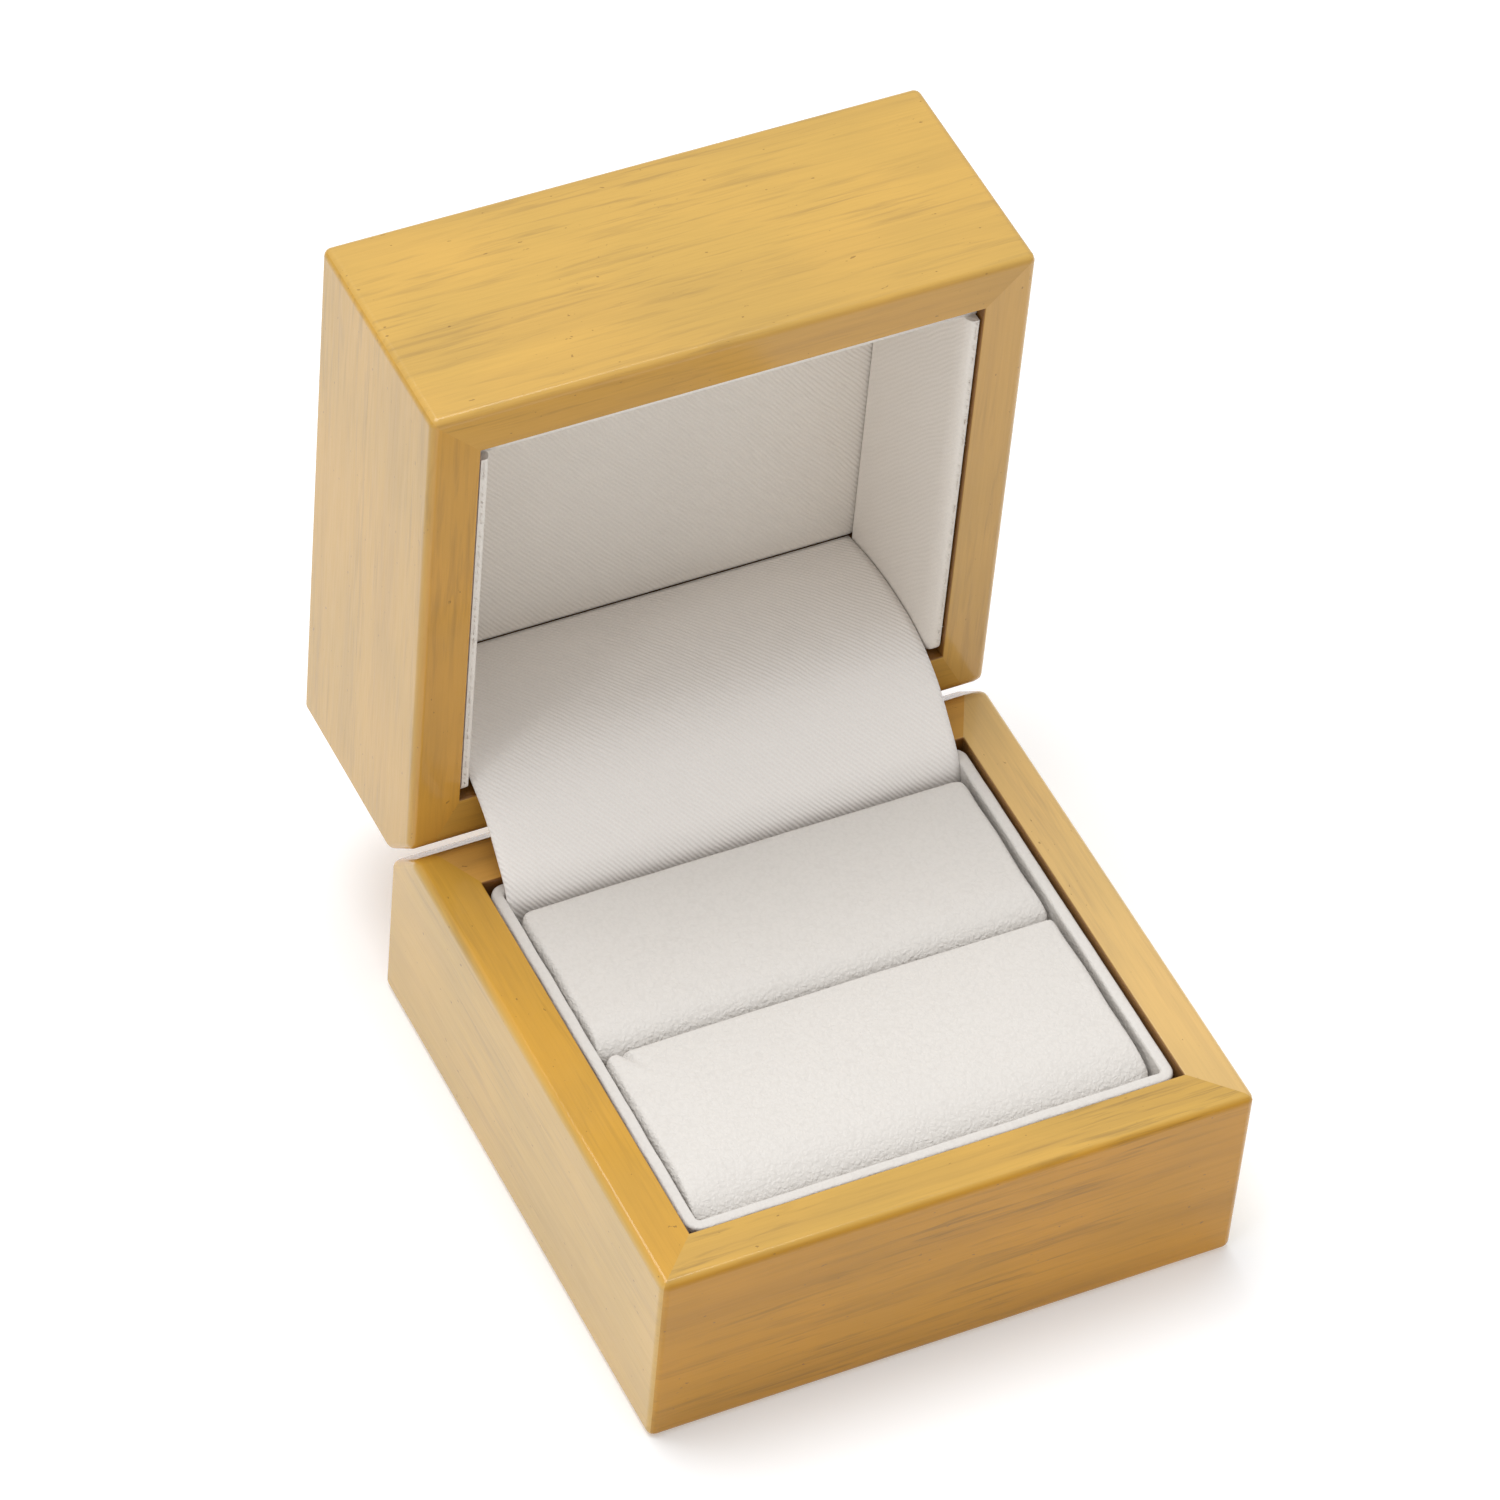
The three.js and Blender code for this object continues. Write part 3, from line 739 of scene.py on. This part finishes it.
def puff_up(obj, top):
    """Blows the cover up as cloth held below its top, and keeps a share of the movement as its crown."""
    start = [v.co.copy() for v in obj.data.vertices]
    obj.data.transform(Matrix.Scale(PUFF_SCALE, 4))
    held = obj.vertex_groups.new(name="held")
    held.add([i for i, co in enumerate(start) if co.z < top - PUFF_HELD_BELOW], 1.0, "REPLACE")
    cloth = obj.modifiers.new("cloth", "CLOTH")
    settings = cloth.settings
    settings.quality = 6
    settings.mass = 0.3
    settings.tension_stiffness = settings.compression_stiffness = 12
    settings.bending_stiffness = 0.4
    settings.use_pressure = True
    settings.uniform_pressure_force = PUFF_PRESSURE
    settings.effector_weights.gravity = 0
    settings.vertex_group_mass = held.name
    cloth.collision_settings.use_collision = False
    for step in range(1, PUFF_FRAMES + 1):
        bpy.context.scene.frame_set(step)
    depsgraph = bpy.context.evaluated_depsgraph_get()
    blown = [v.co / PUFF_SCALE for v in obj.evaluated_get(depsgraph).data.vertices]
    obj.modifiers.remove(cloth)
    obj.vertex_groups.remove(held)
    obj.data.transform(Matrix.Scale(1 / PUFF_SCALE, 4))
    moves = [after - before for before, after in zip(start, blown)]
    share = PUFF_UP / max(move.z for move in moves)
    for vertex, before, move in zip(obj.data.vertices, start, moves):
        aside = share * Vector((move.x, move.y, 0))
        if aside.length > PUFF_ASIDE:
            aside *= PUFF_ASIDE / aside.length
        vertex.co = before + aside + Vector((0, 0, share * max(move.z, 0.0)))
    bpy.context.scene.frame_set(1)


def pad_height(name, x, y, lo, hi):
    """The height of a pad's top before it is blown up."""
    falls = {side: (width * MM, depth * MM) for side, (width, depth) in PAD_EDGES[name].items()}
    from_side = min(x - lo.x, hi.x - x)
    fall_x = edge_fall(from_side, *falls["side"])
    fall_y = edge_fall(y - lo.y, *falls["front"]) + edge_fall(hi.y - y, *falls["rear"])
    fall = math.hypot(fall_x, fall_y)
    along = x / hi.x
    slack = PAD_SLACK * along ** 2
    rumple = PAD_RUMPLE * noise.noise(Vector((x * 130, y * 260, 5.0)))
    crease = pinch(x, y, lo, hi) if name == "front" else 0.0
    return hi.z - PAD_LOW - fall - slack - crease + rumple


def pad_top(bm, name, lo, hi):
    """Rows of points over a pad's top, joined by faces."""
    columns, rows, dense = 96, 56, 1.6
    grid = []
    for v_share in spread(rows, dense):
        y = lo.y + (hi.y - lo.y) * v_share
        line = []
        for u_share in spread(columns, dense):
            x = lo.x + (hi.x - lo.x) * u_share
            outer = (y > (lo.y + hi.y) / 2) == (name == "rear")
            px, py = pad_plan(x, y, lo, hi, PAD_CORNERS["outer" if outer else "slot"])
            px, py = wander(px, py, lo, hi)
            line.append(bm.verts.new((px, py, pad_height(name, x, y, lo, hi))))
        grid.append(line)
    for lower, upper in zip(grid, grid[1:]):
        for k in range(columns):
            bm.faces.new((lower[k], lower[k + 1], upper[k + 1], upper[k]))
    return grid


def pad(name):
    """A foam pad under leatherette, with its flat underside on the tray."""
    lo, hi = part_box(f"{name}_pad_cover")
    bm = bmesh.new()
    grid = pad_top(bm, name, lo, hi)
    border = (grid[0] + [row[-1] for row in grid[1:]] + grid[-1][-2::-1]
              + [row[0] for row in grid[-2:0:-1]])
    foot = [bm.verts.new((v.co.x, v.co.y, lo.z)) for v in border]
    for k in range(len(border)):
        j = (k + 1) % len(border)
        bm.faces.new((border[k], foot[k], foot[j], border[j]))
    bm.faces.new(list(reversed(foot)))
    cover = leatherette_material(f"{name}_pad_leatherette", len(name) * 1.7, 1.0)
    obj = add_object(f"{name}_pad", bm, cover)
    puff_up(obj, hi.z)
    weight_normals(obj, 60)
    finish_piece(obj, "base", "leatherette", f"{name}_pad_cover")


# ================= the linings =================
def add_uv(obj):
    """UVs in millimetres, each face laid flat along its own dominant direction."""
    layer = obj.data.uv_layers.new(name="cloth")
    for face in obj.data.polygons:
        facing = max(range(3), key=lambda i: abs(face.normal[i]))
        across, upward = [(1, 2), (0, 2), (0, 1)][facing]
        for k in face.loop_indices:
            co = obj.data.vertices[obj.data.loops[k].vertex_index].co
            layer.data[k].uv = (co[across] / MM, co[upward] / MM)


def offset_outline(outline, inset):
    """The outline moved inward by inset; it is convex and runs anticlockwise."""
    moved = []
    for before, here, after in zip(outline[-1:] + outline[:-1], outline, outline[1:] + outline[:1]):
        first = (here - before).normalized()
        second = (after - here).normalized()
        inward = Vector((-first.y - second.y, first.x + second.x)).normalized()
        sharpness = max(0.5, inward.dot(Vector((-first.y, first.x))))
        moved.append(here + inward * inset / sharpness)
    return moved


def lining_board(name, outline, axis, back, face, roll, material, front=None):
    """A padded card for a lining: its outline is extruded along an axis from back to face.

    The outline gives the other two axes in their order, and the cloth rolls over the face's edges.
    front is where the outline's first axis ends; there the padding is drawn down over FRONT_TAPER.
    """
    place = {
        "X": lambda p, h: Vector((h, p.x, p.y)),
        "Y": lambda p, h: Vector((p.x, h, p.y)),
    }[axis]
    depth = roll if front is None else FRONT_DROP
    toward_back = math.copysign(depth, back - face)
    rings = [[place(p, back) for p in outline]]
    steps = 8
    for k in range(steps + 1):
        a = math.pi / 2 * k / steps
        height = face + toward_back * (1 - math.sin(a))
        moved = offset_outline(outline, roll * (1 - math.cos(a)))
        if front is not None:
            limit = front + FRONT_TAPER * (1 - math.cos(a))
            moved = [Vector((max(p.x, limit), p.y)) for p in moved]
        rings.append([place(p, height) for p in moved])
    bm = bmesh.new()
    loft(bm, rings, cap_start=True, cap_end=True)
    obj = add_object(name, bm, material)
    weight_normals(obj, 60)
    add_uv(obj)
    return obj


def fray(obj, start, end, out, side, count, length):
    """Loose thread ends along a cut edge, added to the piece's own mesh.

    They stand out from the line between start and end, leaning towards side.
    """
    bm = bmesh.new()
    bm.from_mesh(obj.data)
    along = (end - start).normalized()
    for _ in range(count):
        root = start.lerp(end, random.random())
        reach = length * random.uniform(0.4, 1.0)
        lean = side * random.uniform(-0.5, 0.9) + along * random.uniform(-0.9, 0.9)
        middle = root + (out + lean * 0.5).normalized() * reach * 0.55
        tip = middle + (out * 0.6 + lean).normalized() * reach * 0.5
        thick = random.uniform(0.025, 0.05) * MM
        rings = []
        for centre, scale in ((root - out * 0.1 * MM, 1.0), (middle, 0.8), (tip, 0.35)):
            rings.append([centre + thick * scale * (along * math.cos(a) + side * math.sin(a))
                          for a in (0, math.radians(120), math.radians(240))])
        loft(bm, rings, cap_start=True, cap_end=True)
    bm.to_mesh(obj.data)
    bm.free()
    obj.data.shade_smooth()


def top_lining():
    """The covered card under the lid's top."""
    lo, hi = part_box("lid_top_lining")
    corner = 1.3 * MM
    roll = 1.1 * MM
    outline = [Vector((p.x, p.y)) for p in rounded_rectangle(lo.x, hi.x, lo.z, hi.z, corner, 0, straight=8)]
    cloth = twill_material("top_lining_twill", 1.0, SHADED_LINING_TONE)
    board = lining_board("top_lining", outline, "Y", hi.y, lo.y, roll, cloth)
    finish_piece(board, "lid", "lining_cloth", "lid_top_lining")


def front_lining():
    """The covered card on the lid's front wall, chamfered along its edge by the rim."""
    lo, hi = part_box("lid_front_lining")
    turn = 0.3 * MM

    def ring(y0, z):
        return [Vector((x, y, z)) for x, y in ((lo.x, y0), (hi.x, y0), (hi.x, hi.y), (lo.x, hi.y))]

    bm = bmesh.new()
    loft(bm, [ring(lo.y, hi.z), ring(lo.y + turn, lo.z)], cap_start=True, cap_end=True)
    cloth = twill_material("front_lining_twill", 2.0, SHADED_LINING_TONE, 0.5)
    board = add_object("front_lining", bm, cloth)
    add_uv(board)
    finish_piece(board, "lid", "lining_cloth", "lid_front_lining")


def side_lining(side, seed):
    """The covered card on one side wall of the lid, round beside the hinge and frayed by the rim."""
    lo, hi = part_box(f"lid_{side}_lining")
    roll = 0.4 * MM
    fray_depth = 0.3 * MM
    threads = 150
    thread_length = 0.5 * MM
    steps = 12
    centre = Vector((lo.y + LINING_CORNER, lo.z + LINING_CORNER))
    outline = [Vector((hi.y, lo.z)), Vector((hi.y, hi.z)), Vector((lo.y, hi.z))]
    for k in range(steps + 1):
        a = math.radians(180 + 90 * k / steps)
        outline.append(centre + LINING_CORNER * Vector((math.cos(a), math.sin(a))))
    wood, face = (lo.x, hi.x) if side == "left" else (hi.x, lo.x)
    cloth = twill_material(f"{side}_lining_twill", seed, SHADED_LINING_TONE, 0.4)
    board = lining_board(f"{side}_lining", outline, "X", wood, face, roll, cloth, front=lo.y)
    inward = Vector((math.copysign(1, face - wood), 0, 0))
    edge = wood + inward.x * fray_depth
    start, end = Vector((edge, lo.y, centre.y)), Vector((edge, lo.y, hi.z))
    fray(board, start, end, Vector((0, -1, 0)), inward, threads, thread_length)
    finish_piece(board, "lid", "lining_cloth", f"lid_{side}_lining")


# The flap's side view in y and z, in millimetres, from the edge of the top lining to behind the rear pad.
FLAP_ROUTE = [
    (47.1, 30.0), (42, 31.1), (36.8, 31.5), (31.2, 31.0), (26.2, 28.9),
    (22.6, 25.8), (20.2, 23.2), (19.2, 20.0), (19.3, 13.2),
]


def spline(points, steps):
    """Catmull-Rom through the points."""
    ends = [points[0] * 2 - points[1]] + points + [points[-1] * 2 - points[-2]]
    result = []
    for i in range(1, len(ends) - 2):
        p0, p1, p2, p3 = ends[i - 1:i + 3]
        for k in range(steps):
            t = k / steps
            result.append(0.5 * (2 * p1 + (p2 - p0) * t + (2 * p0 - 5 * p1 + 4 * p2 - p3) * t * t
                                 + (3 * p1 - p0 - 3 * p2 + p3) * t ** 3))
    result.append(points[-1])
    return result


def flap():
    """The cloth over the hinge, one sheet with its thickness."""
    route = spline([Vector((0, y * MM, z * MM)) for y, z in FLAP_ROUTE], 10)
    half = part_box("hinge_flap")[1].x + 0.25 * MM
    swelling = 0.42 * MM
    across = 64
    lengths = [0.0]
    for a, b in zip(route, route[1:]):
        lengths.append(lengths[-1] + (b - a).length)
    bm = bmesh.new()
    rows = []
    for i, point in enumerate(route):
        before = route[max(0, i - 1)]
        after = route[min(len(route) - 1, i + 1)]
        along = (after - before).normalized()
        normal = Vector((0, along.z, -along.y))
        share = i / (len(route) - 1)
        loose = math.sin(math.pi * share) ** 2
        row = []
        for k in range(across + 1):
            x = half * (2 * k / across - 1)
            swell = swelling * noise.noise(Vector((x * 34, lengths[i] * 48, 3.0)))
            row.append(bm.verts.new(Vector((x, point.y, point.z)) - normal * swell * loose))
        rows.append(row)
    for row, following in zip(rows, rows[1:]):
        for k in range(across):
            bm.faces.new((row[k], row[k + 1], following[k + 1], following[k]))
    obj = add_object("flap", bm, twill_material("flap_twill", 7.0, FLAP_TONE))
    layer = obj.data.uv_layers.new(name="cloth")
    for loop in obj.data.loops:
        i, k = divmod(loop.vertex_index, across + 1)
        layer.data[loop.index].uv = (half / MM * (2 * k / across - 1), -lengths[i] / MM)
    thick = obj.modifiers.new("thickness", "SOLIDIFY")
    thick.thickness = CLOTH
    thick.offset = 0
    apply_modifier(obj, thick)
    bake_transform(obj)
    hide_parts("hinge_flap")


# ================= the CAD nodes that stay =================
def dress_cad_nodes():
    """Materials for the CAD nodes that are shown as they are."""
    kept = {
        "base_bottom_panel": plywood_material(),
        "front_pad_foam": foam_material(),
    }
    kept["rear_pad_foam"] = kept["front_pad_foam"]
    brass = metal_material("brass", srgb(205, 168, 92), 0.32)
    steel = metal_material("steel", srgb(190, 190, 194), 0.28)
    for name, obj in frame["nodes"].items():
        material = kept.get(name)
        if "hinge_pin" in name:
            material = steel
        elif "leaf" in name or "screw" in name:
            material = brass
        if material:
            for slot in obj.material_slots:
                slot.material = material


# ================= the studio =================
def area_light(name, place, target, size, power, colour=(1, 1, 1)):
    """A rectangular light aimed at target."""
    data = bpy.data.lights.new(name, "AREA")
    data.shape = "RECTANGLE"
    data.size, data.size_y = size
    data.energy = power
    data.color = colour
    obj = bpy.data.objects.new(name, data)
    obj.location = place
    obj.rotation_euler = (Vector(target) - Vector(place)).to_track_quat("-Z", "Y").to_euler()
    bpy.context.scene.collection.objects.link(obj)


def white_floor():
    """A large, nearly white floor just under the box."""
    reach = 3.0
    below = 0.02 * MM
    corners = ((-reach, -reach), (reach, -reach), (reach, reach), (-reach, reach))
    bm = bmesh.new()
    bm.faces.new([bm.verts.new((x, y, -below)) for x, y in corners])
    n = Nodes("floor")
    speckle = n.noise(n.place(), 0.01, 2.0)
    tone = n.ramp(speckle, (0.3, (0.85, 0.865, 0.885)), (0.7, (0.87, 0.885, 0.905)))
    n.link(tone, n.shader.inputs["Base Color"])
    n.shader.inputs["Roughness"].default_value = 0.7
    n.shader.inputs["Emission Color"].default_value = (1, 1, 1, 1)
    n.shader.inputs["Emission Strength"].default_value = 0.2
    floor = add_object("floor", bm, n.material, smooth=False)


def lighting():
    """White surroundings, a large light overhead, and weak ones in front and at the sides."""
    world = bpy.data.worlds.new("studio")
    bpy.context.scene.world = world
    world.use_nodes = True
    background = world.node_tree.nodes["Background"]
    background.inputs["Color"].default_value = (1, 1, 1, 1)
    background.inputs["Strength"].default_value = 0.52

    panel, strip = (0.6, 0.5), (0.12, 0.3)
    base_centre, box_centre = (0, 0, 0.02), (0, 0, 0.03)
    area_light("overhead", (-0.09, 0.19, 0.75), base_centre, panel, 4.7)
    area_light("front_fill", (-0.15, -0.75, 0.4), box_centre, panel, 0.32, (1, 0.93, 0.84))
    area_light("left_strip", (-0.8, -0.35, 0.35), box_centre, strip, 0.8)
    area_light("right_strip", (0.8, -0.05, 0.2), box_centre, strip, 0.6)
    bpy.context.scene.view_settings.view_transform = "Standard"


def camera():
    """The view from the front left and above, slightly rolled."""
    data = bpy.data.cameras.new("camera")
    data.sensor_width = 36
    data.angle = math.radians(10.733)
    data.clip_start = 0.01
    data.clip_end = 20
    obj = bpy.data.objects.new("camera", data)
    obj.location = (-0.27123, -0.46096, 0.61774)
    forward = Vector((0.33858, 0.59838, -0.72616))
    roll = math.radians(-5.668)
    obj.rotation_mode = "QUATERNION"
    level = forward.to_track_quat("-Z", "Y").to_matrix()
    obj.rotation_quaternion = (Matrix.Rotation(roll, 3, forward) @ level).to_quaternion()
    bpy.context.scene.collection.objects.link(obj)
    bpy.context.scene.camera = obj


# Fixed seeds, so that every run gives the same threads and the same unevenness of the tray.
random.seed(7)
noise.seed_set(7)
camera()
wooden_walls("base")
wooden_walls("lid")
top_panel()
tray()
pad("front")
pad("rear")
top_lining()
front_lining()
side_lining("left", 3.0)
side_lining("right", 4.0)
flap()
dress_cad_nodes()
white_floor()
lighting()
